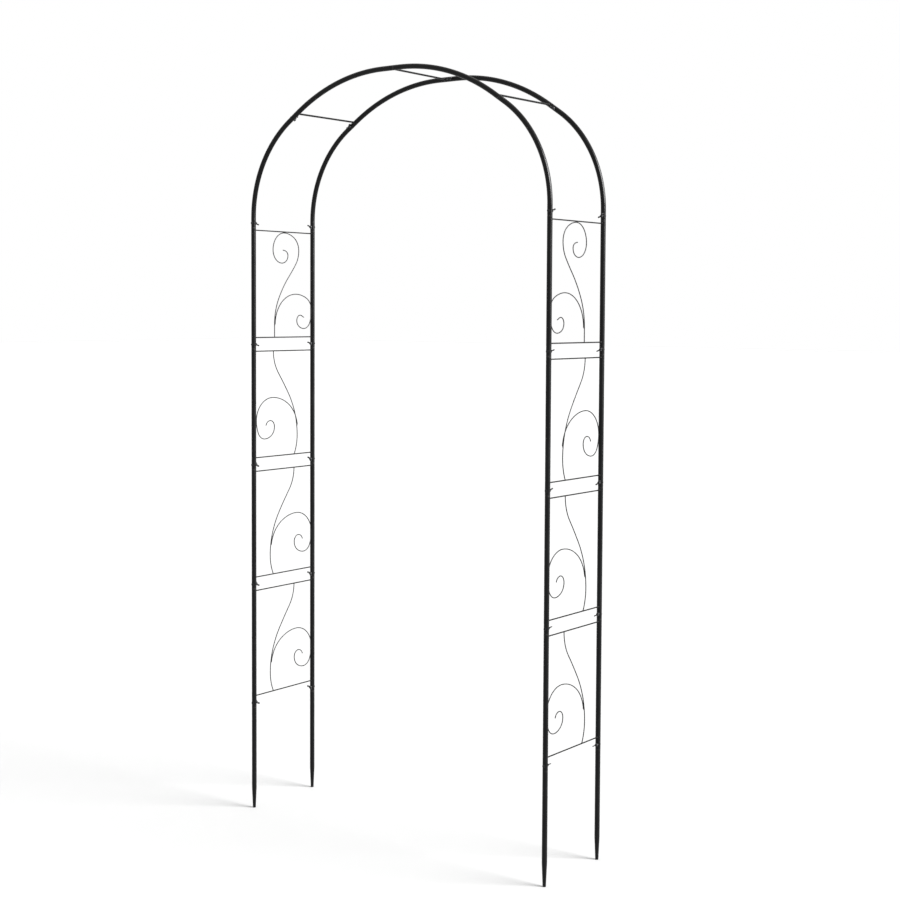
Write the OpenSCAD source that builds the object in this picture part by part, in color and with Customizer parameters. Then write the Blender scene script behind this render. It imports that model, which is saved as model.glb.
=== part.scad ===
// Garden rose arch: a bolted kit of steel tubes with scrolled wire side panels.
// Each leg stacks side panels on two ground stakes, and four bent tubes close each arch.
// The origin is on the ground plane at the stake tips, in the middle of the four legs.
// +X runs across the walkway to the right leg, -Y is the front face, +Z is up.

/* [Arch] */
// Distance between the left and the right legs, centre to centre
leg_span = 1184; // [1000:2:1500]
// Distance between the front and the rear tubes, centre to centre
leg_depth = 290; // [240:2:360]
// Height of the tube centre at the top, above the first joint of the arch tubes
arch_rise = 474; // [400:2:580]
// Lean from upright of the joint halfway up each side of the arch
joint_lean = 56; // [50:1:64]
// Straight length of an arch tube below the shoulder of its spigot
shoulder_straight = 4; // [3:1:20]
// Straight length that an arch tube needs beyond the spigot that it holds
socket_straight = 4; // [2:1:20]

/* [Legs] */
// Number of side panels stacked in each leg
panel_count = 4; // [2:1:4]
// Length of a side panel from joint to joint
panel_pitch = 404; // [340:2:500]
// Length of a ground stake from its tip to its joint
stake_length = 344; // [250:2:450]
// Length of the tapered point of a stake
point_length = 70; // [40:1:100]
// Diameter of the blunt tip of a stake
tip_d = 10; // [6:0.5:12]
// Thickness of the closed end of a stake
tip_wall = 3; // [1:0.5:5]

/* [Tubes] */
// Outside diameter of every tube
tube_d = 16; // [14:0.5:22]
// Wall thickness of every tube
tube_wall = 0.8; // [0.5:0.1:1.5]
// Length of the reduced end that slips into the next tube
spigot_length = 30; // [24:1:40]
// Radial clearance between a spigot and the tube over it
spigot_fit = 0.15; // [0.05:0.05:0.4]

/* [Bars and wires] */
// Diameter of the crossbars of the side panels
bar_d = 4; // [3:0.5:8]
// Diameter of the crossbars of the arch
arch_bar_d = 6; // [4:0.5:8]
// Distance from a joint's bolt to the crossbar next to it
bar_from_bolt = 23; // [16:1:40]
// Diameter of the scroll wires
wire_d = 3; // [2:0.5:5]

/* [Tendril scroll, lower panels] */
// Foot of the stem on the lower bar, in from the near tube
stem_foot = 93; // [70:1:110]
// Where the stem comes closest to the near tube: in from that tube, up from the lower bar
stem_belly = [78, 66]; // [50:1:110]
// Where the stem slants most: in from the near tube, up from the lower bar
stem_slant_at = [123, 213]; // [80:1:240]
// Slant of the stem there, from upright
stem_slant = 33; // [20:1:45]
// Head of the stem on the upper bar, in from the far tube
stem_head = 94; // [60:1:110]
// Lean of the stem where the branch leaves it
fork_lean = 8; // [4:1:14]
// Length of stem between its belly and the fork, measured upright
fork_rise = 36; // [20:1:60]
// Top of the branch: in from the far tube, up from the lower bar
curl_top = [86, 200]; // [60:1:230]
// Height at which the branch touches the far tube
curl_touch = 124; // [100:1:140]
// Lowest point of the curl: in from the far tube, up from the lower bar
curl_low = [50, 61]; // [30:1:90]
// Nearest point of the curl: in from the far tube, up from the lower bar
curl_near = [96, 100]; // [60:1:130]
// Inner top of the curl: in from the far tube, up from the lower bar
curl_inner = [76, 122]; // [50:1:140]
// End of the curl: in from the far tube, up from the lower bar
curl_end = [55, 106]; // [40:1:120]
// Direction of the curl's end, turned back from straight down
curl_end_turn = 12; // [0:1:40]

/* [Crest scroll, top panel] */
// Foot of the stem on the lower bar, in from the near tube
crest_foot = 100; // [70:1:120]
// Height at which the stem starts to bend and the branch leaves it
crest_fork = 44; // [30:1:60]
// Where the stem slants most: in from the near tube, up from the lower bar
crest_slant_at = [172, 208]; // [130:1:220]
// Slant of the stem there, from upright
crest_slant = 41; // [25:1:50]
// Point of the crest closest to the far tube: in from it, down from the upper bar
crest_far = [70, 62]; // [50:1:80]
// In from the near tube to where the crest touches the upper bar
crest_touch = 148; // [130:1:160]
// Point of the crest closest to the near tube: in from it, down from the upper bar
crest_near = [93, 62]; // [70:1:110]
// Lowest point inside the crest: in from the near tube, down from the upper bar
crest_low = [136, 106]; // [90:1:150]
// Inner side of the crest: in from the near tube, down from the upper bar
crest_inner = [166, 80]; // [60:1:180]
// End of the crest: in from the near tube, down from the upper bar
crest_end = [142, 62]; // [50:1:160]
// Top of the branch: in from the far tube, up from the lower bar
sprig_top = [88, 147]; // [60:1:170]
// Height at which the branch touches the far tube
sprig_touch = 92; // [80:1:110]
// Lowest point of the curl: in from the far tube, up from the lower bar
sprig_low = [48, 29]; // [20:1:70]
// Nearest point of the curl: in from the far tube, up from the lower bar
sprig_near = [83, 57]; // [40:1:100]
// Inner top of the curl: in from the far tube, up from the lower bar
sprig_inner = [66, 75]; // [50:1:90]
// End of the curl: in from the far tube, up from the lower bar
sprig_end = [48, 68]; // [40:1:80]

/* [Bolts and wing nuts] */
// Diameter of the bolts
bolt_d = 5; // [4:0.5:6]
// Diameter of a bolt head
head_d = 10; // [8:0.5:12]
// Height of a bolt head
head_h = 2.6; // [1.5:0.1:4]
// Radial clearance of a bolt in its holes
bolt_fit = 0.25; // [0.1:0.05:0.5]
// Radial clearance of the thread in a wing nut
thread_fit = 0.05; // [0.02:0.01:0.1]
// Diameter of a wing nut's hub at the tube
hub_d = 9.5; // [8.5:0.5:12]
// Diameter of the hub's outer end
hub_top_d = 8; // [7.5:0.5:10]
// Height of the hub
hub_h = 5; // [4:0.5:8]
// Distance between the outer edges of the two wings
wing_span = 22; // [19:0.5:28]
// Height of the wings above the tube
wing_h = 11; // [9:0.5:14]
// Thickness of a wing
wing_t = 2; // [1.5:0.1:3]
// Length of bolt that shows beyond the hub
bolt_tail = 3; // [1:0.5:6]

/* [Hidden] */
$fn = 48;
SIDES = ["left", "right"];
FACES = ["front", "rear"];
ARCH_BARS = ["left", "top", "right"];
PANEL_PIECES = ["front_tube", "rear_tube", "crossbars", "stem_wire", "branch_wire"];

steel = "#24262a";          // satin black coating
zinc = "#2c2e31";           // the coated fasteners, a little greyer

half_span = leg_span / 2;
half_depth = leg_depth / 2;
tube_r = tube_d / 2;
bore_r = tube_r - tube_wall;
spigot_r = bore_r - spigot_fit;
spigot_bore_r = spigot_r - tube_wall;
neck = 3;                   // length over which the bore narrows below a spigot
bevel_h = 0.6;              // height of the bevel round a socket's rim
bevel_in = tube_wall / 2;   // how far that bevel cuts into the wall
bend_draw = 0.05;           // how far a bend draws a tube's surface in
bend_lap = 1;               // length that a bend runs on inside the straight tube
cut = 1;                    // how far a cut runs past the face that it goes through
leg_wing_turn = 28;         // least slant of the wings on the legs, in degrees
wing_stray = 20;            // how much more they may slant
arch_wing_turn = 80;        // turn of the wings on the arch, where 90 is along the tube
bolt_up = spigot_length / 2;                    // joint line to bolt
bar_up = bolt_up + bar_from_bolt;               // joint line to the bar above it
bar_down = bar_from_bolt - bolt_up;             // joint line to the bar below it
bar_gap = panel_pitch - bar_up - bar_down;      // between a panel's two bars
arch_base = stake_length + panel_count * panel_pitch;
crown = arch_base + arch_rise;                  // tube centre at the top

// Straight lengths at the ends of the arch tubes
base_straight = spigot_length + socket_straight;                // lower tube, over the leg's spigot
bar_straight = max(bar_up + arch_bar_d / 2 + 1, base_straight); // upper tube, past its crossbar
crown_straight = base_straight;                                 // both halves, at the top

// The two bend radii of the arch, from its span, its rise and the lean of its middle joint
lean_c = cos(joint_lean);
lean_s = sin(joint_lean);
mid_straight = shoulder_straight + bar_straight;
span_left = half_span - mid_straight * lean_s - crown_straight;
rise_left = arch_rise - mid_straight * lean_c - base_straight;
lean_det = 1 - lean_c - lean_s;
lower_bend_r = (span_left * (1 - lean_s) - rise_left * lean_c) / lean_det;
upper_bend_r = (rise_left * (1 - lean_c) - span_left * lean_s) / lean_det;

// ---- Joints -------------------------------------------------------------------------

// A solid rod up from the origin
module rod(d, h) {
    cylinder(h = h, d = d);
}

// The hole through both walls for a joint's bolt, along Y
module bolt_hole() {
    translate([0, tube_d, 0]) rotate([90, 0, 0]) rod(bolt_d + 2 * bolt_fit, 2 * tube_d);
}

// Cuts the bevel round the rim of a socket that starts at the origin
module rim_cut() {
    rotate_extrude()
        polygon([
            [tube_r - bevel_in, 0], [tube_r + bevel_in, 2 * bevel_h],
            [tube_r + bevel_in, -cut], [tube_r - bevel_in, -cut]
        ]);
}

// A panel tube, whose lower end slips over the spigot below it and whose upper end is a
// spigot for the next tube
module straight_tube(length) {
    difference() {
        rotate_extrude()
            polygon([
                [bore_r, 0], [tube_r - bevel_in, 0], [tube_r, bevel_h], [tube_r, length],
                [spigot_r, length], [spigot_r, length + spigot_length],
                [spigot_bore_r, length + spigot_length], [spigot_bore_r, length],
                [bore_r, length - neck]
            ]);
        translate([0, 0, bolt_up]) bolt_hole();
        translate([0, 0, length + bolt_up]) bolt_hole();
    }
}

// ---- Stakes -------------------------------------------------------------------------

// A ground stake, tapered to a blunt closed tip
module stake() {
    tip_r = tip_d / 2;
    tip_bore_r = tip_r - tube_wall;
    difference() {
        rotate_extrude()
            polygon([
                [0, 0], [tip_r, 0], [tube_r, point_length], [tube_r, stake_length],
                [spigot_r, stake_length], [spigot_r, stake_length + spigot_length],
                [spigot_bore_r, stake_length + spigot_length], [spigot_bore_r, stake_length],
                [bore_r, stake_length - neck], [bore_r, point_length],
                [tip_bore_r, tip_wall], [0, tip_wall]
            ]);
        translate([0, 0, stake_length + bolt_up]) bolt_hole();
    }
}

// ---- Arch tubes ---------------------------------------------------------------------

// A bend in the XZ plane: it leaves the origin upward and turns towards +X. It runs on
// into the straight tube at both of its ends.
module bend(bend_r, angle, r) {
    run_on = bend_lap / bend_r * 180 / PI;
    translate([bend_r, 0, 0]) rotate([90, 0, 0]) rotate([0, 0, 180 - angle - run_on])
        rotate_extrude(angle = angle + 2 * run_on) translate([bend_r, 0]) circle(r = r);
}

// The outside or the bore of a bent tube that starts at the origin, heading up: a straight
// foot, a bend that draws the tube in a little, and a straight head. It starts lower by drop.
module bent_tube(bend_r, angle, r, foot, head, drop = 0) {
    translate([0, 0, -drop]) rod(2 * r, foot + drop);
    translate([0, 0, foot]) bend(bend_r, angle, r - bend_draw);
    bend_end(bend_r, angle, foot) rod(2 * r, head);
}

// Places what follows at the far end of a tube's bend, along its heading
module bend_end(bend_r, angle, foot) {
    translate([bend_r * (1 - cos(angle)), 0, foot + bend_r * sin(angle)])
        rotate([0, angle, 0]) children();
}

// A bent arch tube with sockets at both ends and bolt holes in them
module socket_tube(bend_r, angle, foot, head) {
    difference() {
        bent_tube(bend_r, angle, tube_r, foot, head);
        bent_tube(bend_r, angle, bore_r, foot, head + cut, cut);
        rim_cut();
        translate([0, 0, bolt_up]) bolt_hole();
        bend_end(bend_r, angle, foot) {
            translate([0, 0, head]) mirror([0, 0, 1]) rim_cut();
            translate([0, 0, head - bolt_up]) bolt_hole();
        }
    }
}

// A bent arch tube with a socket at its foot and a spigot at its head
module spigot_tube(bend_r, angle, foot, head) {
    difference() {
        union() {
            bent_tube(bend_r, angle, tube_r, foot, head);
            bend_end(bend_r, angle, foot) rod(2 * spigot_r, head + spigot_length);
        }
        bent_tube(bend_r, angle, bore_r, foot, head - neck, cut);
        bend_end(bend_r, angle, foot) {
            rod(2 * spigot_bore_r, head + spigot_length + cut);
            translate([0, 0, head - neck])
                cylinder(h = neck, r1 = bore_r, r2 = spigot_bore_r);
        }
        rim_cut();
        translate([0, 0, bolt_up]) bolt_hole();
        bend_end(bend_r, angle, foot) translate([0, 0, head + bolt_up]) bolt_hole();
    }
}

// Places what follows where the upper arch tube starts, on the left side
module at_upper_arch() {
    translate([-half_span, 0, arch_base]) bend_end(lower_bend_r, joint_lean, base_straight)
        translate([0, 0, shoulder_straight]) children();
}

// ---- Placing by side and face -------------------------------------------------------

// Mirrors what is drawn for the left side if the side is the right one
module on_side(side) {
    if (side == "left") children();
    else mirror([1, 0, 0]) children();
}

function face_y(face) = face == "front" ? -half_depth : half_depth;

// Joint lines of a leg, from the stake's up to the first one of the arch
function leg_joint(i) = stake_length + i * panel_pitch;

// ---- Crossbars ----------------------------------------------------------------------

// A bar along Y between the front and the rear tube, at the origin, coped to both
module crossbar(d) {
    difference() {
        translate([0, half_depth, 0]) rotate([90, 0, 0]) rod(d, leg_depth);
        for (y = [-half_depth, half_depth])
            translate([0, y, -tube_d]) rod(tube_d, 2 * tube_d);
    }
}

module panel_crossbars() {
    translate([0, 0, bar_up]) crossbar(bar_d);
    translate([0, 0, bar_up + bar_gap]) crossbar(bar_d);
}

// The arch bars sit on the straight ends of the upper tubes
module arch_crossbar(place) {
    if (place == "top")
        translate([-bar_down, 0, crown]) rotate([0, 90, 0]) crossbar(arch_bar_d);
    else
        on_side(place) at_upper_arch() translate([0, 0, bar_up]) crossbar(arch_bar_d);
}

// ---- Scroll wires -------------------------------------------------------------------
// A wire is a chain of knots [across, up, heading] in its panel's plane. Two tangent arcs
// join each pair of knots. Across runs from the near to the far tube, up from the lower bar.

function dir(a) = [cos(a), sin(a)];
function left_of(v) = [-v.y, v.x];
function spot(k) = [k.x, k.y];

// Where the two arcs between knots a and b meet
function meeting(a, b) =
    let (
        v = spot(b) - spot(a), ta = dir(a[2]), tb = dir(b[2]), t = ta + tb,
        k = 2 * (1 - ta * tb),
        reach = k < 1e-6 ? (v * v) / (4 * (v * tb)) : (sqrt((v * t) ^ 2 + k * (v * v)) - v * t) / k
    )
    (spot(a) + spot(b) + reach * (ta - tb)) / 2;

// A length of wire of radius r from p, in direction t, to q: an arc, or a straight where
// it hardly bends. It runs on by lap at both ends.
module wire_arc(p, t, q, r, lap) {
    w = q - p;
    side = 2 * (w * left_of(t));
    if (abs(side) * 500 < w * w / norm(w))
        translate(p) rotate([0, 0, atan2(w.y, w.x)]) rotate([0, 90, 0])
            translate([0, 0, -lap]) rod(2 * r, norm(w) + 2 * lap);
    else {
        bend_r = (w * w) / side;
        c = p + bend_r * left_of(t);
        from = bend_r > 0 ? p - c : q - c;
        to = bend_r > 0 ? q - c : p - c;
        turn = atan2(to.y, to.x) - atan2(from.y, from.x);
        run_on = lap / abs(bend_r) * 180 / PI;
        translate(c) rotate([0, 0, atan2(from.y, from.x) - run_on])
            rotate_extrude(angle = (turn < 0 ? turn + 360 : turn) + 2 * run_on)
                translate([abs(bend_r), 0]) circle(r = r, $fn = 24);
    }
}

// Every second arc is drawn in a little and runs on inside its neighbours
module wire(knots) {
    for (i = [0:len(knots) - 2]) {
        m = meeting(knots[i], knots[i + 1]);
        wire_arc(spot(knots[i]), dir(knots[i][2]), m, wire_r, 0);
        wire_arc(spot(knots[i + 1]), -dir(knots[i + 1][2]), m, wire_r - wire_draw, wire_lap);
    }
}

wire_draw = 0.03;           // how far every second arc of a wire is drawn in
wire_lap = 0.4;             // length that it runs on inside its neighbours
wire_r = wire_d / 2;
// Across to the wire centre where a branch, one wire to the side of the stem, touches the far tube
touch_far = leg_depth - sqrt((tube_r + wire_r) ^ 2 - wire_d ^ 2);
far = leg_depth;            // across to the far tube's centre
top = bar_gap;              // up to the upper bar's centre

// Single bend from upright at the belly to the foot, so its heading follows from the two
foot_heading = 90 + 2 * atan((stem_foot - stem_belly.x) / stem_belly.y);
fork_bend_r = fork_rise / sin(fork_lean);
stem_fork = [stem_belly.x + fork_bend_r * (1 - cos(fork_lean)), stem_belly.y + fork_rise, 90 - fork_lean];

stem_knots = [
    [stem_foot, 0, foot_heading],
    [stem_belly.x, stem_belly.y, 90],
    stem_fork,
    [stem_slant_at.x, stem_slant_at.y, 90 - stem_slant],
    [far - stem_head, top, 90]
];

curl_knots = [
    stem_fork,
    [far - curl_top.x, curl_top.y, 0],
    [touch_far, curl_touch, -90],
    [far - curl_low.x, curl_low.y, 180],
    [far - curl_near.x, curl_near.y, 90],
    [far - curl_inner.x, curl_inner.y, 0],
    [far - curl_end.x, curl_end.y, -90 + curl_end_turn]
];

crest_knots = [
    [crest_foot, 0, 90],
    [crest_foot, crest_fork, 90],
    [crest_slant_at.x, crest_slant_at.y, 90 - crest_slant],
    [far - crest_far.x, top - crest_far.y, 90],
    [crest_touch, top - (bar_d + wire_d) / 2, 180],
    [crest_near.x, top - crest_near.y, -90],
    [crest_low.x, top - crest_low.y, 0],
    [crest_inner.x, top - crest_inner.y, 90],
    [crest_end.x, top - crest_end.y, 180]
];

sprig_knots = [
    [crest_foot, crest_fork, 90],
    [far - sprig_top.x, sprig_top.y, 0],
    [touch_far, sprig_touch, -90],
    [far - sprig_low.x, sprig_low.y, 180],
    [far - sprig_near.x, sprig_near.y, 90],
    [far - sprig_inner.x, sprig_inner.y, 0],
    [far - sprig_end.x, sprig_end.y, -20]
];

// Stands a panel's scroll up in the YZ plane on its lower bar, near tube in front
module stand_up(flipped) {
    translate([0, 0, bar_up]) mirror([0, flipped ? 1 : 0, 0])
        translate([0, -half_depth, 0]) rotate([90, 0, 90]) children();
}

// The stem's ends are coped to the bars that they stand on
module stem_wire(crested) {
    difference() {
        wire(crested ? crest_knots : stem_knots);
        for (up = crested ? [0] : [0, top])
            translate([0, up, 0]) rotate([0, 90, 0]) rod(bar_d, leg_depth);
    }
}

// The branch lies one wire to the inside of the stem, so the two touch where they cross
module branch_wire(crested) {
    translate([0, 0, wire_d]) wire(crested ? sprig_knots : curl_knots);
}

// ---- Side panels --------------------------------------------------------------------

// Each leg is the same, turned half round: the crest panel is on top, the one below it
// faces the other way
module panel_piece(side, p, piece) {
    crested = p == panel_count;
    flipped = p == panel_count - 1;
    translate([side == "left" ? -half_span : half_span, 0, leg_joint(p - 1)])
        rotate([0, 0, side == "left" ? 0 : 180])
            color(steel) {
                for (face = FACES)
                    if (piece == str(face, "_tube"))
                        translate([0, leg_face(side, face), 0]) straight_tube(panel_pitch);
                if (piece == "crossbars") panel_crossbars();
                if (piece == "stem_wire") stand_up(flipped) stem_wire(crested);
                if (piece == "branch_wire") stand_up(flipped) branch_wire(crested);
            }
}

// Across to a face's tube in a panel's own frame, which is turned round on the right
function leg_face(side, face) = side == "left" ? face_y(face) : -face_y(face);

// ---- Bolts and wing nuts ------------------------------------------------------------

// A bolt along +Y through the tube at the origin, with its head on the -Y side
module bolt() {
    grip = tube_d + hub_h + bolt_tail;
    rotate([-90, 0, 0]) translate([0, 0, -tube_r]) {
        rod(bolt_d, grip);
        mirror([0, 0, 1]) rotate_extrude() domed_head();
    }
}

// Half the outline of a domed bolt head
module domed_head() {
    dome_r = (head_d * head_d / 4 + head_h * head_h) / (2 * head_h);
    intersection() {
        translate([0, head_h - dome_r]) circle(r = dome_r, $fn = 96);
        square([head_d, head_h]);
    }
}

// A wing nut on the +Y side of the tube, its wings turned about the bolt
module wing_nut(turn) {
    rotate([-90, 0, 0]) translate([0, 0, tube_r]) rotate([0, 0, turn])
        difference() {
            union() {
                cylinder(h = hub_h, d1 = hub_d, d2 = hub_top_d);
                for (half = [0, 180]) rotate([0, 0, half]) wing();
            }
            translate([0, 0, -cut]) rod(bolt_d + 2 * thread_fit, hub_h + 2 * cut);
        }
}

// One wing, outward along +X from the hub's wall
module wing() {
    lobe_r = wing_h * 0.36;
    root = bolt_d / 2 + 0.7;
    lobe = [wing_span / 2 - lobe_r, wing_h - lobe_r];
    translate([0, wing_t / 2, 0]) rotate([90, 0, 0]) linear_extrude(wing_t)
        union() {
            translate(lobe) circle(r = lobe_r);
            polygon([
                [root, 0.6], [hub_d / 2, 0.6], lobe + lobe_r * dir(-50),
                lobe + lobe_r * dir(140), [root, hub_h - 0.4]
            ]);
        }
}

// Places what follows at every bolt of one face; a nut's turn goes with its number
module at_bolts() {
    for (side = SIDES) on_side(side) {
        for (i = [0:panel_count]) {
            $turn = nut_turn(i);
            translate([-half_span, 0, leg_joint(i) + bolt_up]) children();
        }
        $turn = nut_turn(panel_count + 1);
        at_upper_arch() translate([0, 0, bolt_up]) children();
    }
    $turn = nut_turn(panel_count + 2);
    translate([bolt_up, 0, crown]) rotate([0, 90, 0]) children();
}

// Where hand-tightening left the wings at joint i: slanted on the legs, nearly along the
// tube on the arch
function nut_turn(i) = i <= panel_count ? leg_wing_turn + (i * 67) % wing_stray : arch_wing_turn;

// A fastener drawn for the front face, placed on either
module on_face(face) {
    if (face == "front") translate([0, -half_depth, 0]) children();
    else mirror([0, 1, 0]) translate([0, -half_depth, 0]) children();
}

// ---- The whole arch -----------------------------------------------------------------

module leg_stake(side, face) {
    on_side(side) color(steel) translate([-half_span, face_y(face), 0]) stake();
}

module lower_arch_tube(side, face) {
    on_side(side) color(steel) translate([-half_span, face_y(face), arch_base])
        spigot_tube(lower_bend_r, joint_lean, base_straight, shoulder_straight);
}

// The left halves carry the spigots of the joints at the top
module upper_arch_tube(side, face) {
    on_side(side) color(steel) translate([0, face_y(face), 0]) at_upper_arch() {
        if (side == "left") spigot_tube(upper_bend_r, 90 - joint_lean, bar_straight, crown_straight);
        else socket_tube(upper_bend_r, 90 - joint_lean, bar_straight, crown_straight);
    }
}

module bolts(face) {
    color(zinc) on_face(face) at_bolts() bolt();
}

module wing_nuts(face) {
    color(zinc) on_face(face) at_bolts() wing_nut($turn);
}

for (s = SIDES, p = [1:panel_count], k = PANEL_PIECES)
    panel_piece(s, p, k);
for (s = SIDES, f = FACES) {
    leg_stake(s, f);
    lower_arch_tube(s, f);
    upper_arch_tube(s, f);
}
for (b = ARCH_BARS)
    color(steel) arch_crossbar(b);
for (f = FACES) {
    bolts(f);
    wing_nuts(f);
}
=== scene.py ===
# Bolted garden rose arch in black powder-coated steel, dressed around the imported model.
import math
import random
import bmesh
import bpy
from mathutils import Matrix, Vector


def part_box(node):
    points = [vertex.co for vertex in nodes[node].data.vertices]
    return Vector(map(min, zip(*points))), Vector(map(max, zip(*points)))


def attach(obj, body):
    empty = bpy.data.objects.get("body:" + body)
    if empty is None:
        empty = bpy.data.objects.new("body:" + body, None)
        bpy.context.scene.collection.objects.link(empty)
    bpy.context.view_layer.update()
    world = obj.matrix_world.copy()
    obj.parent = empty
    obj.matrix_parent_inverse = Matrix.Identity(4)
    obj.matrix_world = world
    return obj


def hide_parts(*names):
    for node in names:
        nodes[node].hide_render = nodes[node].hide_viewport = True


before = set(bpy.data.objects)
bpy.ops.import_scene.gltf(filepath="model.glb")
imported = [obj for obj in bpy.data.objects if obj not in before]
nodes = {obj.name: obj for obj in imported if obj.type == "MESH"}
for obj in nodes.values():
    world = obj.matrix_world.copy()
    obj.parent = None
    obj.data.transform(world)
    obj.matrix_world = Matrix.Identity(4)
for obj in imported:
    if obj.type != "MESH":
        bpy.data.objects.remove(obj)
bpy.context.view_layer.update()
mm = 0.001
print("frame loaded:", len(nodes), "nodes")


# Small helpers for meshes and nodes

fullTurn = 2 * math.pi


def spin(degrees, axis):
    return Matrix.Rotation(math.radians(degrees), 4, axis)


def finishPiece(name, bm, material, sharpAngle=None):
    bmesh.ops.recalc_face_normals(bm, faces=bm.faces)
    mesh = bpy.data.meshes.new(name)
    bm.to_mesh(mesh)
    bm.free()
    mesh.polygons.foreach_set("use_smooth", [True] * len(mesh.polygons))
    if sharpAngle:
        mesh.set_sharp_from_angle(angle=math.radians(sharpAngle))
    mesh.materials.append(material)
    obj = bpy.data.objects.new(name, mesh)
    bpy.context.scene.collection.objects.link(obj)
    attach(obj, "root")
    return obj


def skinRings(bm, rings, closeAlong=False, caps=False):
    # Joins rings of points with quads, back to the first ring or with a cap at each end
    made = [[bm.verts.new(p) for p in ring] for ring in rings]
    count = len(made[0])
    pairs = list(zip(made, made[1:])) + ([(made[-1], made[0])] if closeAlong else [])
    for lower, upper in pairs:
        for i in range(count):
            j = (i + 1) % count
            bm.faces.new((lower[i], lower[j], upper[j], upper[i]))
    if caps:
        bm.faces.new(made[0])
        bm.faces.new(made[-1])


def newMaterial(name):
    mat = bpy.data.materials.new(name)
    mat.use_nodes = True
    tree = mat.node_tree
    return mat, tree, tree.nodes["Principled BSDF"]


def addNode(tree, kind, inputs=None, **settings):
    node = tree.nodes.new(kind)
    for key, value in settings.items():
        setattr(node, key, value)
    for key, value in (inputs or {}).items():
        if isinstance(value, bpy.types.NodeSocket):
            tree.links.new(value, node.inputs[key])
        else:
            node.inputs[key].default_value = value
    return node


def noise(tree, coords, scale, detail, roughness):
    return addNode(tree, "ShaderNodeTexNoise", {"Vector": coords, "Scale": scale, "Detail": detail,
                                                "Roughness": roughness}).outputs["Fac"]


def math2(tree, operation, a, b, clamp=False):
    return addNode(tree, "ShaderNodeMath", {0: a, 1: b}, operation=operation, use_clamp=clamp).outputs[0]


def band(tree, source, low, high, toLow=0.0, toHigh=1.0):
    # Stretches the part of source from low to high over toLow to toHigh
    return addNode(tree, "ShaderNodeMapRange", {"Value": source, "From Min": low, "From Max": high,
                                                "To Min": toLow, "To Max": toHigh}).outputs["Result"]


def blendColor(tree, factor, a, b):
    mix = tree.nodes.new("ShaderNodeMix")
    mix.data_type = "RGBA"
    # Sockets of the colour kind: 0 is the factor, 6 and 7 the two colours
    for socket, value in ((mix.inputs[0], factor), (mix.inputs[6], a), (mix.inputs[7], b)):
        if isinstance(value, bpy.types.NodeSocket):
            tree.links.new(value, socket)
        else:
            socket.default_value = value
    return mix.outputs[2]


def tint(red, green, blue):
    return (red, green, blue, 1.0)


# Sizes of the bolted kit, as the frame has them
kit = {
    "halfSpan": 592 * mm,
    "halfDepth": 145 * mm,
    "tubeRadius": 8 * mm,
    "stakeLength": 344 * mm,
    "panelPitch": 404 * mm,
    "panels": 4,
    "archRise": 474 * mm,
    "jointLean": 56.0,        # degrees from upright
    "spigotLength": 30 * mm,
    "shoulderStraight": 4 * mm,
    "socketStraight": 4 * mm,
    "barAboveJoint": 38 * mm,
    "barClearance": 1 * mm,   # least room between an arch bar and its tube's straight end
    "barRadius": 2 * mm,
    "archBarRadius": 3 * mm,
    "wireRadius": 1.5 * mm,
}
boltUp = kit["spigotLength"] / 2
archBase = kit["stakeLength"] + kit["panels"] * kit["panelPitch"]
crown = archBase + kit["archRise"]


# Powder coat baked over steel: orange peel, cloudy gloss, thin dust on what looks up,
# fine scratches, and rubbed spots where the coat has gone thin
coat = {
    "deep": tint(0.0006, 0.00065, 0.0008),
    "cloudy": tint(0.0018, 0.0019, 0.0021),
    "dust": tint(0.30, 0.27, 0.23),
    "bareSteel": tint(0.16, 0.155, 0.15),
    "shine": 0.15,           # specular level
    "glossSpread": 0.07,     # how far the roughness drifts
    "cloudsPerMetre": 11.0,
    "cloudRange": (0.34, 0.68),
    "rubbedRange": (0.50, 0.64),     # part of the clouds where the coat is rubbed or scratched
    "grainPerMetre": 460.0,
    "grainRange": (0.66, 0.72),      # peaks of the grain that are rubbed through
    "grainDepth": 0.1 * mm,
    "rubbedShow": 0.55,
    "hairsPerMetre": (900.0, 900.0, 26.0),   # close together across a tube, long up it
    "hairRange": (0.70, 0.75),
    "hairShow": 0.05,
    "dustFaces": (0.35, 1.0),        # how far a face looks up before dust settles on it
    "dustShare": 0.035,
    "dustDulls": 2.0,
    "rubDulls": 0.12,
    "peelShow": 0.5,                 # strengths of the bumps
    "grainShow": 0.12,
    "lumpShow": 0.7,
    "rimWear": 3.5 * mm,     # how far from a leg joint the coat is knocked about
    "rimGrain": (0.50, 0.60),
    "rimShow": 0.5,
    "lumpsPerMetre": 620.0,
}

# One finish for each kind of piece: roughness, orange peel, extra wear, and lumps of the bead
tubeFinish = {"gloss": 0.27, "peelPerMetre": 700.0, "peelDepth": 0.16 * mm, "wear": 0.0, "lumpDepth": 0.0}
barFinish = {"gloss": 0.30, "peelPerMetre": 1100.0, "peelDepth": 0.1 * mm, "wear": 0.01, "lumpDepth": 0.0}
weldFinish = {"gloss": 0.33, "peelPerMetre": 1400.0, "peelDepth": 0.1 * mm, "wear": 0.03,
              "lumpDepth": 0.25 * mm}


def rimScuffs(tree, coords, grain):
    # Knocks round the leg joints, where one tube was pushed on to the next
    height = addNode(tree, "ShaderNodeSeparateXYZ", {"Vector": coords}).outputs["Z"]
    panelsUp = math2(tree, "DIVIDE", math2(tree, "SUBTRACT", height, kit["stakeLength"]), kit["panelPitch"])
    away = math2(tree, "MULTIPLY", math2(tree, "PINGPONG", panelsUp, 0.5), kit["panelPitch"])
    near = band(tree, away, coat["rimWear"], 0.0)
    onLegs = math2(tree, "LESS_THAN", height, archBase + coat["rimWear"])
    knocked = math2(tree, "MULTIPLY", near, band(tree, grain, *coat["rimGrain"]))
    return math2(tree, "MULTIPLY", knocked, onLegs, clamp=True)


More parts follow.
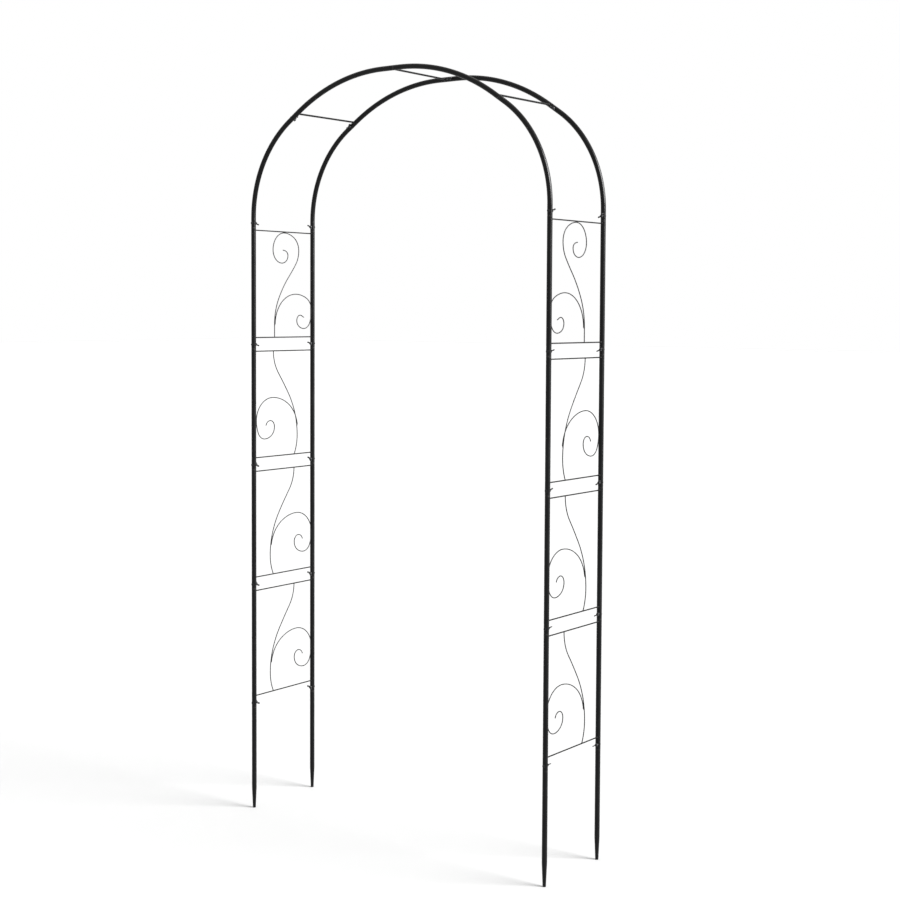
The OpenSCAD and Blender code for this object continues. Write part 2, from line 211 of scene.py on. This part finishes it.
def coatMaterial(name, finish, scuffedRims=False):
    mat, tree, shader = newMaterial(name)
    coords = addNode(tree, "ShaderNodeTexCoord").outputs["Object"]
    cloud = noise(tree, coords, coat["cloudsPerMetre"], 6.0, 0.62)
    grain = noise(tree, coords, coat["grainPerMetre"], 4.0, 0.7)
    base = blendColor(tree, band(tree, cloud, *coat["cloudRange"]), coat["deep"], coat["cloudy"])

    # Rubbed spots cluster where the cloud is lightest
    low, high = coat["grainRange"]
    spots = band(tree, grain, low - finish["wear"], high - finish["wear"])
    where = band(tree, cloud, *coat["rubbedRange"])
    rubbed = math2(tree, "MULTIPLY", spots, where, clamp=True)
    if scuffedRims:
        scuffs = math2(tree, "MULTIPLY", rimScuffs(tree, coords, grain), coat["rimShow"])
        rubbed = math2(tree, "MAXIMUM", rubbed, scuffs)
    base = blendColor(tree, math2(tree, "MULTIPLY", rubbed, coat["rubbedShow"]), base, coat["bareSteel"])

    # Hairline scratches along the length of upright tubes
    squeezed = addNode(tree, "ShaderNodeMapping", {"Vector": coords, "Scale": coat["hairsPerMetre"]})
    hair = band(tree, noise(tree, squeezed.outputs["Vector"], 1.0, 2.0, 0.5), *coat["hairRange"])
    scratched = math2(tree, "MULTIPLY", hair, where, clamp=True)
    base = blendColor(tree, math2(tree, "MULTIPLY", scratched, coat["hairShow"]), base, coat["bareSteel"])

    # Dust on faces that look up
    normal = addNode(tree, "ShaderNodeNewGeometry").outputs["Normal"]
    up = addNode(tree, "ShaderNodeSeparateXYZ", {"Vector": normal}).outputs["Z"]
    settled = math2(tree, "MULTIPLY", band(tree, up, *coat["dustFaces"]), band(tree, cloud, 0.3, 0.7))
    dusty = math2(tree, "MULTIPLY", settled, coat["dustShare"])
    base = blendColor(tree, dusty, base, coat["dust"])
    tree.links.new(base, shader.inputs["Base Color"])

    # Gloss drifts with the cloud, and dulls at rubbed spots and under dust
    glossiest, dullest = finish["gloss"] - coat["glossSpread"] / 2, finish["gloss"] + coat["glossSpread"]
    rough = band(tree, cloud, 0.3, 0.7, glossiest, dullest)
    rough = math2(tree, "ADD", rough, math2(tree, "MULTIPLY", dusty, coat["dustDulls"]))
    rough = math2(tree, "ADD", rough, math2(tree, "MULTIPLY", rubbed, coat["rubDulls"]), clamp=True)
    tree.links.new(rough, shader.inputs["Roughness"])

    # Orange peel, then the grain, then the lumps of a weld
    peel = noise(tree, coords, finish["peelPerMetre"], 2.0, 0.5)
    relief = addNode(tree, "ShaderNodeBump", {"Height": peel, "Strength": coat["peelShow"],
                                              "Distance": finish["peelDepth"]})
    relief = addNode(tree, "ShaderNodeBump", {"Height": grain, "Strength": coat["grainShow"],
                                              "Distance": coat["grainDepth"],
                                              "Normal": relief.outputs["Normal"]})
    if finish["lumpDepth"]:
        lumps = noise(tree, coords, coat["lumpsPerMetre"], 3.0, 0.6)
        relief = addNode(tree, "ShaderNodeBump", {"Height": lumps, "Strength": coat["lumpShow"],
                                                  "Distance": finish["lumpDepth"],
                                                  "Normal": relief.outputs["Normal"]})
    tree.links.new(relief.outputs["Normal"], shader.inputs["Normal"])
    shader.inputs["IOR"].default_value = 1.5
    shader.inputs["Specular IOR Level"].default_value = coat["shine"]
    return mat


tubeCoat = coatMaterial("tubePowderCoat", tubeFinish, scuffedRims=True)
barCoat = coatMaterial("barPowderCoat", barFinish)
weldCoat = coatMaterial("coatedWeld", weldFinish)

# Blackened fasteners: thin coat over zinc, worn on the corners that fingers and spanners touch
fastener = {
    "black": tint(0.0025, 0.0026, 0.0030),
    "grey": tint(0.0060, 0.0062, 0.0068),
    "zinc": tint(0.30, 0.30, 0.31),
    "glossiest": 0.26,
    "dullest": 0.40,
    "shine": 0.18,
    "cornerWear": 0.22,
    "cloudsPerMetre": 160.0,
    "gritPerMetre": 1500.0,
    "gritDepth": 0.05 * mm,
}


def fastenerMaterial(name):
    mat, tree, shader = newMaterial(name)
    coords = addNode(tree, "ShaderNodeTexCoord").outputs["Object"]
    cloud = noise(tree, coords, fastener["cloudsPerMetre"], 4.0, 0.6)
    grit = noise(tree, coords, fastener["gritPerMetre"], 3.0, 0.6)
    base = blendColor(tree, band(tree, cloud, 0.35, 0.65), fastener["black"], fastener["grey"])
    corner = band(tree, addNode(tree, "ShaderNodeNewGeometry").outputs["Pointiness"], 0.53, 0.60)
    worn = math2(tree, "MULTIPLY", corner, band(tree, grit, 0.40, 0.62), clamp=True)
    worn = math2(tree, "MULTIPLY", worn, fastener["cornerWear"])
    base = blendColor(tree, worn, base, fastener["zinc"])
    tree.links.new(base, shader.inputs["Base Color"])
    tree.links.new(band(tree, worn, 0.0, 1.0, 0.0, 0.9), shader.inputs["Metallic"])
    rough = band(tree, cloud, 0.3, 0.7, fastener["glossiest"], fastener["dullest"])
    tree.links.new(rough, shader.inputs["Roughness"])
    bump = addNode(tree, "ShaderNodeBump", {"Height": grit, "Strength": 0.35,
                                            "Distance": fastener["gritDepth"]})
    tree.links.new(bump.outputs["Normal"], shader.inputs["Normal"])
    shader.inputs["Specular IOR Level"].default_value = fastener["shine"]
    return mat


fastenerBlack = fastenerMaterial("blackenedFastener")

for name, obj in nodes.items():
    finish = barCoat if name.endswith(("wire", "crossbars", "crossbar")) else tubeCoat
    for slot in obj.material_slots:
        slot.material = finish
print("coats done")


def legJoint(i):
    return kit["stakeLength"] + i * kit["panelPitch"]


def upperJoint():
    # Where the left upper arch tube starts, from the two bends that make the arch
    lean = math.radians(kit["jointLean"])
    c, s = math.cos(lean), math.sin(lean)
    foot = kit["spigotLength"] + kit["socketStraight"]
    head = max(kit["barAboveJoint"] + kit["archBarRadius"] + kit["barClearance"], foot)
    middle = kit["shoulderStraight"] + head
    across = kit["halfSpan"] - middle * s - foot
    rise = kit["archRise"] - middle * c - foot
    bend = (across * (1 - s) - rise * c) / (1 - c - s)
    x = -kit["halfSpan"] + bend * (1 - c) + kit["shoulderStraight"] * s
    z = archBase + foot + bend * s + kit["shoulderStraight"] * c
    return Vector((x, 0, z))


# Weld beads

weld = {
    "barLeg": 1.7 * mm,       # how far a bead spreads from a crossbar on the tube
    "archBarLeg": 2.2 * mm,
    "wireLeg": 1.0 * mm,
    "tackLength": 11 * mm,
    "tackRadius": 1.5 * mm,
    "forkStretch": 1.3,       # the bead where two wires meet is longer and a little thicker
    "forkSwell": 1.05,
    "sunk": 0.25 * mm,        # how deep a bead reaches into the metal under it
    "uneven": 0.16,
    "ringSteps": 20,
    "seat": 1.05,             # height of a bead where it meets the bar, in legs
    "toe": 1.02,              # where it goes into the tube, in legs
    "beadCurve": ((0.10, 0.98), (0.34, 0.60), (0.66, 0.28), (1.0, 0.04)),   # outward, height, in legs
    "tackRows": 13,
    "tackAround": 10,
    "ripple": 0.13,
    "roughness": 0.05,
}


def weldRing(bm, foot, carrierAxis, carrierRadius, toward, memberRadius, leg, rng):
    # A bead round a bar or wire where it butts on the round carrier at foot
    along = toward.normalized()
    a = (carrierAxis - along * carrierAxis.dot(along)).normalized()
    side = along.cross(a)
    steps, phase, sunk = weld["ringSteps"], rng.uniform(0, 6.28), weld["sunk"]
    rings = []
    for i in range(steps):
        t = fullTurn * i / steps
        swell = 1 + weld["uneven"] * (math.sin(4 * t + phase) * 0.6 + rng.uniform(-0.6, 0.6))
        spread = leg * swell
        profile = [(-sunk, spread * weld["seat"])]
        profile += [(u * spread, h * spread) for u, h in weld["beadCurve"]]
        profile += [(spread * weld["toe"], -sunk), (-sunk, -sunk)]
        out = a * math.cos(t) + side * math.sin(t)
        ring = []
        for u, h in profile:
            rho = memberRadius + u
            off = abs(rho * math.sin(t))
            # Height of the round carrier there, kept finite where the bead runs past its side
            surface = math.sqrt(max(carrierRadius ** 2 - off ** 2, (0.35 * carrierRadius) ** 2))
            ring.append(foot + out * rho + along * (surface + h))
        rings.append(ring)
    skinRings(bm, rings, closeAlong=True)


def tackWeld(bm, middle, along, length, radius, rng):
    # A short rippled bead laid in the groove between two round bars
    along = along.normalized()
    u = along.orthogonal().normalized()
    v = along.cross(u)
    rows, around, phase = weld["tackRows"], weld["tackAround"], rng.uniform(0, 6.28)
    rings = []
    for i in range(rows):
        s = -1 + 2 * (i + 0.5) / rows
        thick = radius * math.sqrt(1 - s * s) * (1 + weld["ripple"] * math.sin(9 * s + phase))
        ring = []
        for k in range(around):
            t = fullTurn * k / around
            r = thick * (1 + rng.uniform(-weld["roughness"], weld["roughness"]))
            ring.append(middle + along * (s * length / 2) + (u * math.cos(t) + v * math.sin(t)) * r)
        rings.append(ring)
    skinRings(bm, rings, caps=True)


# Places on the panel scrolls that are welded, in the panel's own plane in millimetres:
# across from the near tube, up from the lower bar
scrolls = {
    "barGap": 358,                 # from the lower bar to the upper one
    "depth": 290,                  # from the near tube to the far one
    "stemFoot": (93, 15),          # across, lean of the wire there in degrees (towards the near tube)
    "stemHeadAcross": 196,
    "fork": (80.5, 104),
    "forkLean": 8.0,
    "curlTouch": 124,              # height where the branch lies against the far tube
    "crestFoot": 100,
    "crestFork": 47,
    "crestTouchAcross": 148,
    "crestTouchDown": 2.0,         # below the upper bar
    "sprigTouch": 92,
}


def panelPoint(side, panel, across, up, inside=0.0):
    # A point on a panel's scroll in the row frame; inside is towards the walkway
    sign = -1 if side == "left" else 1
    flip = -1 if panel == kit["panels"] - 1 else 1
    y = (across - scrolls["depth"] / 2) * mm * flip * -sign
    z = legJoint(panel - 1) + kit["barAboveJoint"] + up * mm
    return Vector((sign * kit["halfSpan"] - sign * inside, y, z))


def panelHeading(side, panel, lean):
    # Direction of a wire that leans from upright by lean degrees, away from the near tube
    sign = -1 if side == "left" else 1
    flip = -1 if panel == kit["panels"] - 1 else 1
    a = math.radians(lean)
    return Vector((0, math.sin(a) * flip * -sign, math.cos(a)))


def dressPanel(side, panel):
    rng = random.Random(f"{side}{panel}")
    bm = bmesh.new()
    sign = -1 if side == "left" else 1
    crested = panel == kit["panels"]
    upright, acrossY = Vector((0, 0, 1)), Vector((0, 1, 0))
    for up in (0, scrolls["barGap"]):
        z = legJoint(panel - 1) + kit["barAboveJoint"] + up * mm
        for face in (-1, 1):
            foot = Vector((sign * kit["halfSpan"], face * kit["halfDepth"], z))
            weldRing(bm, foot, upright, kit["tubeRadius"], acrossY * -face, kit["barRadius"],
                     weld["barLeg"], rng)

    bar, wire, touch = kit["barRadius"], kit["wireRadius"], 2 * kit["wireRadius"]
    if crested:
        weldRing(bm, panelPoint(side, panel, scrolls["crestFoot"], 0), acrossY, bar, upright, wire,
                 weld["wireLeg"], rng)
        crestUp = scrolls["barGap"] - scrolls["crestTouchDown"]
        crest = panelPoint(side, panel, scrolls["crestTouchAcross"], crestUp)
        tackWeld(bm, crest, acrossY, weld["tackLength"], weld["tackRadius"], rng)
        forkAcross, forkUp, touchUp = scrolls["crestFoot"], scrolls["crestFork"], scrolls["sprigTouch"]
        forkLean = 0.0
    else:
        footAcross, footLean = scrolls["stemFoot"]
        heading = panelHeading(side, panel, -footLean)
        weldRing(bm, panelPoint(side, panel, footAcross, 0), acrossY, bar, heading, wire,
                 weld["wireLeg"], rng)
        weldRing(bm, panelPoint(side, panel, scrolls["stemHeadAcross"], scrolls["barGap"]), acrossY, bar,
                 -upright, wire, weld["wireLeg"], rng)
        (forkAcross, forkUp), touchUp = scrolls["fork"], scrolls["curlTouch"]
        forkLean = scrolls["forkLean"]
    fork = panelPoint(side, panel, forkAcross, forkUp, wire)
    tackWeld(bm, fork, panelHeading(side, panel, forkLean), weld["tackLength"] * weld["forkStretch"],
             weld["tackRadius"] * weld["forkSwell"], rng)

    # The branch lies against the far tube, one wire to the inside
    reach = math.sqrt((kit["tubeRadius"] + wire) ** 2 - touch ** 2)
    share = kit["tubeRadius"] / (kit["tubeRadius"] + wire)
    across = scrolls["depth"] - reach * share / mm
    contact = panelPoint(side, panel, across, touchUp, touch * share)
    tackWeld(bm, contact, upright, weld["tackLength"], weld["tackRadius"], rng)
    finishPiece(f"{side}Panel{panel}Welds", bm, weldCoat)


for side in ("left", "right"):
    for panel in range(1, kit["panels"] + 1):
        dressPanel(side, panel)


def dressArchBars():
    rng = random.Random("archBars")
    bm = bmesh.new()
    lean = math.radians(kit["jointLean"])
    headings = {"left": Vector((math.sin(lean), 0, math.cos(lean))), "top": Vector((1, 0, 0)),
                "right": Vector((-math.sin(lean), 0, math.cos(lean)))}
    for place, heading in headings.items():
        low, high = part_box(f"{place}_arch_crossbar")
        middle = (low + high) / 2
        for face in (-1, 1):
            foot = Vector((middle.x, face * kit["halfDepth"], middle.z))
            weldRing(bm, foot, heading, kit["tubeRadius"], Vector((0, -face, 0)), kit["archBarRadius"],
                     weld["archBarLeg"], rng)
    finishPiece("archBarWelds", bm, weldCoat)


dressArchBars()
print("welds done")


# Bolts and wing nuts

bolt = {
    "radius": 2.5 * mm,
    "headRadius": 5 * mm,
    "headHeight": 2.6 * mm,
    "domeShares": (0.12, 0.34, 0.56, 0.74, 0.88, 0.97),   # rings of the dome, in head radii
    "rimUp": 0.25 * mm,       # widest ring of the head, above the tube
    "footShare": 0.985,       # the head's foot, just under the top of the tube's round
    "footDown": 0.1 * mm,
    "neckDown": 0.6 * mm,     # where the head has narrowed to the shank
    "threadPitch": 0.8 * mm,
    "threadDepth": 0.38 * mm,
    "threadInHub": 1.2 * mm,  # thread that the nut's hub hides
    "threadRows": 34,
    "plainEnd": 0.3 * mm,     # from the plain shank to the first turn
    "tail": 3 * mm,           # thread that shows beyond the nut's hub
    "tipLength": 0.5 * mm,
    "tipStep": 0.2 * mm,      # how much the tip is inside the thread's root
    "around": 20,
}
wingNut = {
    "hubRadius": 4.75 * mm,
    "hubTopRadius": 4 * mm,
    "hubHeight": 5 * mm,
    "around": 24,
    "boreRoom": 0.05 * mm,
    "bevel": 0.45 * mm,       # round the hub's outer face and its bore
    "footBevel": 0.35 * mm,
    "span": 22 * mm,
    "height": 11 * mm,
    "lobeShare": 0.36,        # radius of a wing's lobe, in heights
    "lobeArc": (-62, 150),    # degrees
    "lobePoints": 13,
    "wingRoot": 3.3 * mm,     # the wings start inside the hub
    "wingFoot": 0.7 * mm,     # their lower edge, above the tube
    "thickness": 2.8 * mm,
    "roundOff": 0.55 * mm,    # how far the wings' edges are rounded
    "roundShoulder": 0.18 * mm,
    "shoulderShare": 0.35,
    "legTurn": 28,            # least slant of the wings on the legs, in degrees
    "stray": 20,              # how much more they may slant
    "strayStep": 67,          # mixes the slants from joint to joint
    "archTurn": 80,           # turn of the wings on the arch, where 90 is along the tube
}


def circle(radius, z, count, place):
    turns = [fullTurn * i / count for i in range(count)]
    return [place @ Vector((radius * math.cos(t), radius * math.sin(t), z)) for t in turns]


def addBolt(bm, place):
    # Along +Z through the tube at the origin: domed head, shank through the tube, thread at the end
    n, wall = bolt["around"], kit["tubeRadius"]
    dome = (bolt["headRadius"] ** 2 + bolt["headHeight"] ** 2) / (2 * bolt["headHeight"])
    rings = []
    for share in bolt["domeShares"]:
        r = bolt["headRadius"] * share
        rings.append(circle(r, -wall - bolt["headHeight"] + dome - math.sqrt(dome ** 2 - r ** 2), n, place))
    rings.append(circle(bolt["headRadius"], -wall - bolt["rimUp"], n, place))
    rings.append(circle(bolt["headRadius"] * bolt["footShare"], -wall + bolt["footDown"], n, place))
    rings.append(circle(bolt["radius"], -wall + bolt["neckDown"], n, place))

    # Thread, from just inside the nut's hub to the bolt's end
    start = wall + wingNut["hubHeight"] - bolt["threadInHub"]
    end = wall + wingNut["hubHeight"] + bolt["tail"]
    rings.append(circle(bolt["radius"], start - bolt["plainEnd"], n, place))
    rows = bolt["threadRows"]
    for k in range(rows):
        z = start + (end - bolt["tipLength"] - start) * k / (rows - 1)
        ring = []
        for i in range(n):
            turn = (z / bolt["threadPitch"] - i / n) % 1
            r = bolt["radius"] - bolt["threadDepth"] * abs(2 * turn - 1)
            t = fullTurn * i / n
            ring.append(place @ Vector((r * math.cos(t), r * math.sin(t), z)))
        rings.append(ring)
    rings.append(circle(bolt["radius"] - bolt["threadDepth"] - bolt["tipStep"], end, n, place))
    skinRings(bm, rings, caps=True)


def wingOutline():
    # One wing from the side: round its lobe, over the hub's top edge, and back out under the wing
    lobe = wingNut["height"] * wingNut["lobeShare"]
    centre = Vector((wingNut["span"] / 2 - lobe, wingNut["height"] - lobe))
    first, last = wingNut["lobeArc"]
    points = []
    for k in range(wingNut["lobePoints"]):
        t = math.radians(first + (last - first) * k / (wingNut["lobePoints"] - 1))
        points.append(centre + Vector((math.cos(t), math.sin(t))) * lobe)
    root, foot = wingNut["wingRoot"], wingNut["wingFoot"]
    hub, hubTop = wingNut["hubRadius"], wingNut["hubHeight"]
    points.append(Vector((root + 1.6 * mm, hubTop + 0.35 * mm)))
    points.append(Vector((root, hubTop - 0.35 * mm)))
    points.append(Vector((root, foot)))
    points.append(Vector((hub + 0.2 * mm, foot)))
    points.append(Vector((hub + 1.3 * mm, 1.5 * mm)))
    return points


def addWingNut(bm, place):
    # On the +Z side of the tube: a tapered hub with a bored face, and two rounded wings
    wall, bevel, footBevel = kit["tubeRadius"], wingNut["bevel"], wingNut["footBevel"]
    top = wall + wingNut["hubHeight"]
    bore = bolt["radius"] + wingNut["boreRoom"]
    hub = [
        (bore, wall + 0.3 * mm),
        (wingNut["hubRadius"] - footBevel, wall + 0.02 * mm),   # just clear of the tube
        (wingNut["hubRadius"], wall + footBevel),
        (wingNut["hubTopRadius"] + 0.12 * mm, top - 0.55 * mm),
        (wingNut["hubTopRadius"] - bevel, top),
        (bore + bevel, top),
        (bore, top - bevel),
    ]
    skinRings(bm, [circle(r, z, wingNut["around"], place) for r, z in hub], closeAlong=True)

    outline = wingOutline()
    middle = sum(outline, Vector((0, 0))) / len(outline)
    half, off = wingNut["thickness"] / 2, wingNut["roundOff"]
    shoulder = (half - wingNut["roundShoulder"], wingNut["shoulderShare"] * off)
    edge = [(half, off), shoulder, (half - off, 0.0)]
    layers = [(-depth, inset) for depth, inset in edge] + edge[::-1]
    for turned in (1, -1):
        rings = []
        for depth, inset in layers:
            ring = []
            for p in outline:
                q = p - (p - middle).normalized() * inset
                ring.append(place @ Vector((turned * q.x, turned * depth, wall + q.y)))
            rings.append(ring)
        skinRings(bm, rings, caps=True)


def nutTurn(i):
    # Slant of the wings at joint i, counted up the leg and along the arch
    if i > kit["panels"]:
        return wingNut["archTurn"]
    return wingNut["legTurn"] + (i * wingNut["strayStep"]) % wingNut["stray"]


def fastenerPlaces(face):
    # One matrix for each joint of a face, with the bolt along +Z, and how its wings are turned
    joint, lean = upperJoint(), kit["jointLean"]
    faceY = -kit["halfDepth"] if face == "front" else kit["halfDepth"]
    facing = spin(0 if face == "front" else 180, "Z") @ spin(-90, "X")
    for side, sign in (("left", -1), ("right", 1)):
        hand = -sign if face == "front" else sign
        for i in range(kit["panels"] + 1):
            place = Matrix.Translation((sign * kit["halfSpan"], faceY, legJoint(i) + boltUp)) @ facing
            yield place, hand * nutTurn(i)
        a = math.radians(lean)
        x, z = joint.x + boltUp * math.sin(a), joint.z + boltUp * math.cos(a)
        place = Matrix.Translation((x * -sign, faceY, z)) @ spin(-sign * lean, "Y") @ facing
        yield place, hand * nutTurn(kit["panels"] + 1)
    place = Matrix.Translation((boltUp, faceY, crown)) @ spin(90, "Y") @ facing
    yield place, (1 if face == "front" else -1) * nutTurn(kit["panels"] + 2)


for face in ("front", "rear"):
    rng = random.Random(face)
    bolts, nuts = bmesh.new(), bmesh.new()
    for place, turn in fastenerPlaces(face):
        addBolt(bolts, place @ spin(rng.uniform(0, 360), "Z"))
        addWingNut(nuts, place @ spin(turn, "Z"))
    shown = finishPiece(f"{face}Bolts", bolts, fastenerBlack, 35)
    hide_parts(f"{face}_bolts")
    shown = finishPiece(f"{face}WingNuts", nuts, fastenerBlack, 35)
    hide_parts(f"{face}_wing_nuts")
print("fasteners done")


# Floor, light and camera

studio = {
    "floor": tint(0.371, 0.371, 0.371),   # with the key light it comes out as pale as the sky
    "floorRoughness": 0.9,
    "floorReach": 60.0,              # metres from the arch to the floor's edge
    "floorDrop": 0.5 * mm,           # keeps the floor clear of the stakes' tips
    "sky": tint(1.0, 1.0, 1.0),
    "skyLight": 1.0,
    "keyStrength": 13.0,
    "keyFrom": (0.79, 0.24, 0.37),   # high on the right of the arch
    "keyAway": 6,                    # metres, for looks only: a sun lights alike from anywhere
    "keySoftness": 34,               # how wide the light looks from the arch, in degrees
}


def keyLight():
    data = bpy.data.lights.new("keyLight", "SUN")
    data.energy = studio["keyStrength"]
    data.angle = math.radians(studio["keySoftness"])
    obj = bpy.data.objects.new("keyLight", data)
    obj.location = Vector(studio["keyFrom"]) * studio["keyAway"]
    obj.rotation_euler = (-Vector(studio["keyFrom"])).to_track_quat("-Z", "Y").to_euler()
    bpy.context.scene.collection.objects.link(obj)


def makeFloor():
    bm = bmesh.new()
    bmesh.ops.create_grid(bm, x_segments=1, y_segments=1, size=studio["floorReach"])
    mesh = bpy.data.meshes.new("studioFloor")
    bm.to_mesh(mesh)
    bm.free()
    floor = bpy.data.objects.new("studioFloor", mesh)
    floor.location = (0, 0, -studio["floorDrop"])
    bpy.context.scene.collection.objects.link(floor)
    mat, _, shader = newMaterial("studioFloor")
    shader.inputs["Base Color"].default_value = studio["floor"]
    shader.inputs["Roughness"].default_value = studio["floorRoughness"]
    mesh.materials.append(mat)


makeFloor()
keyLight()
world = bpy.data.worlds.new("studioWorld")
bpy.context.scene.world = world
world.use_nodes = True
world.node_tree.nodes["Background"].inputs["Color"].default_value = studio["sky"]
world.node_tree.nodes["Background"].inputs["Strength"].default_value = studio["skyLight"]
bpy.context.scene.view_settings.view_transform = "Standard"   # keeps the black coat black

view = {
    "place": (3.0923, -3.8902, 1.6850),
    "heading": 37.3446,    # turned left from looking along +Y
    "down": 2.9641,        # tipped below the horizon
    "roll": 0.2952,
    "focal": 62.327,       # on a 36 mm sensor
    "shiftUp": -0.06444,
}
camData = bpy.data.cameras.new("camera")
camData.lens = view["focal"]
camData.sensor_width = 36.0
camData.shift_y = view["shiftUp"]
camData.clip_start = 0.05
camData.clip_end = 200.0
cam = bpy.data.objects.new("camera", camData)
cam.matrix_world = (Matrix.Translation(view["place"]) @ spin(view["heading"], "Z")
                    @ spin(90 - view["down"], "X") @ spin(view["roll"], "Z"))
bpy.context.scene.collection.objects.link(cam)
bpy.context.scene.camera = cam
print("camera and lights done")
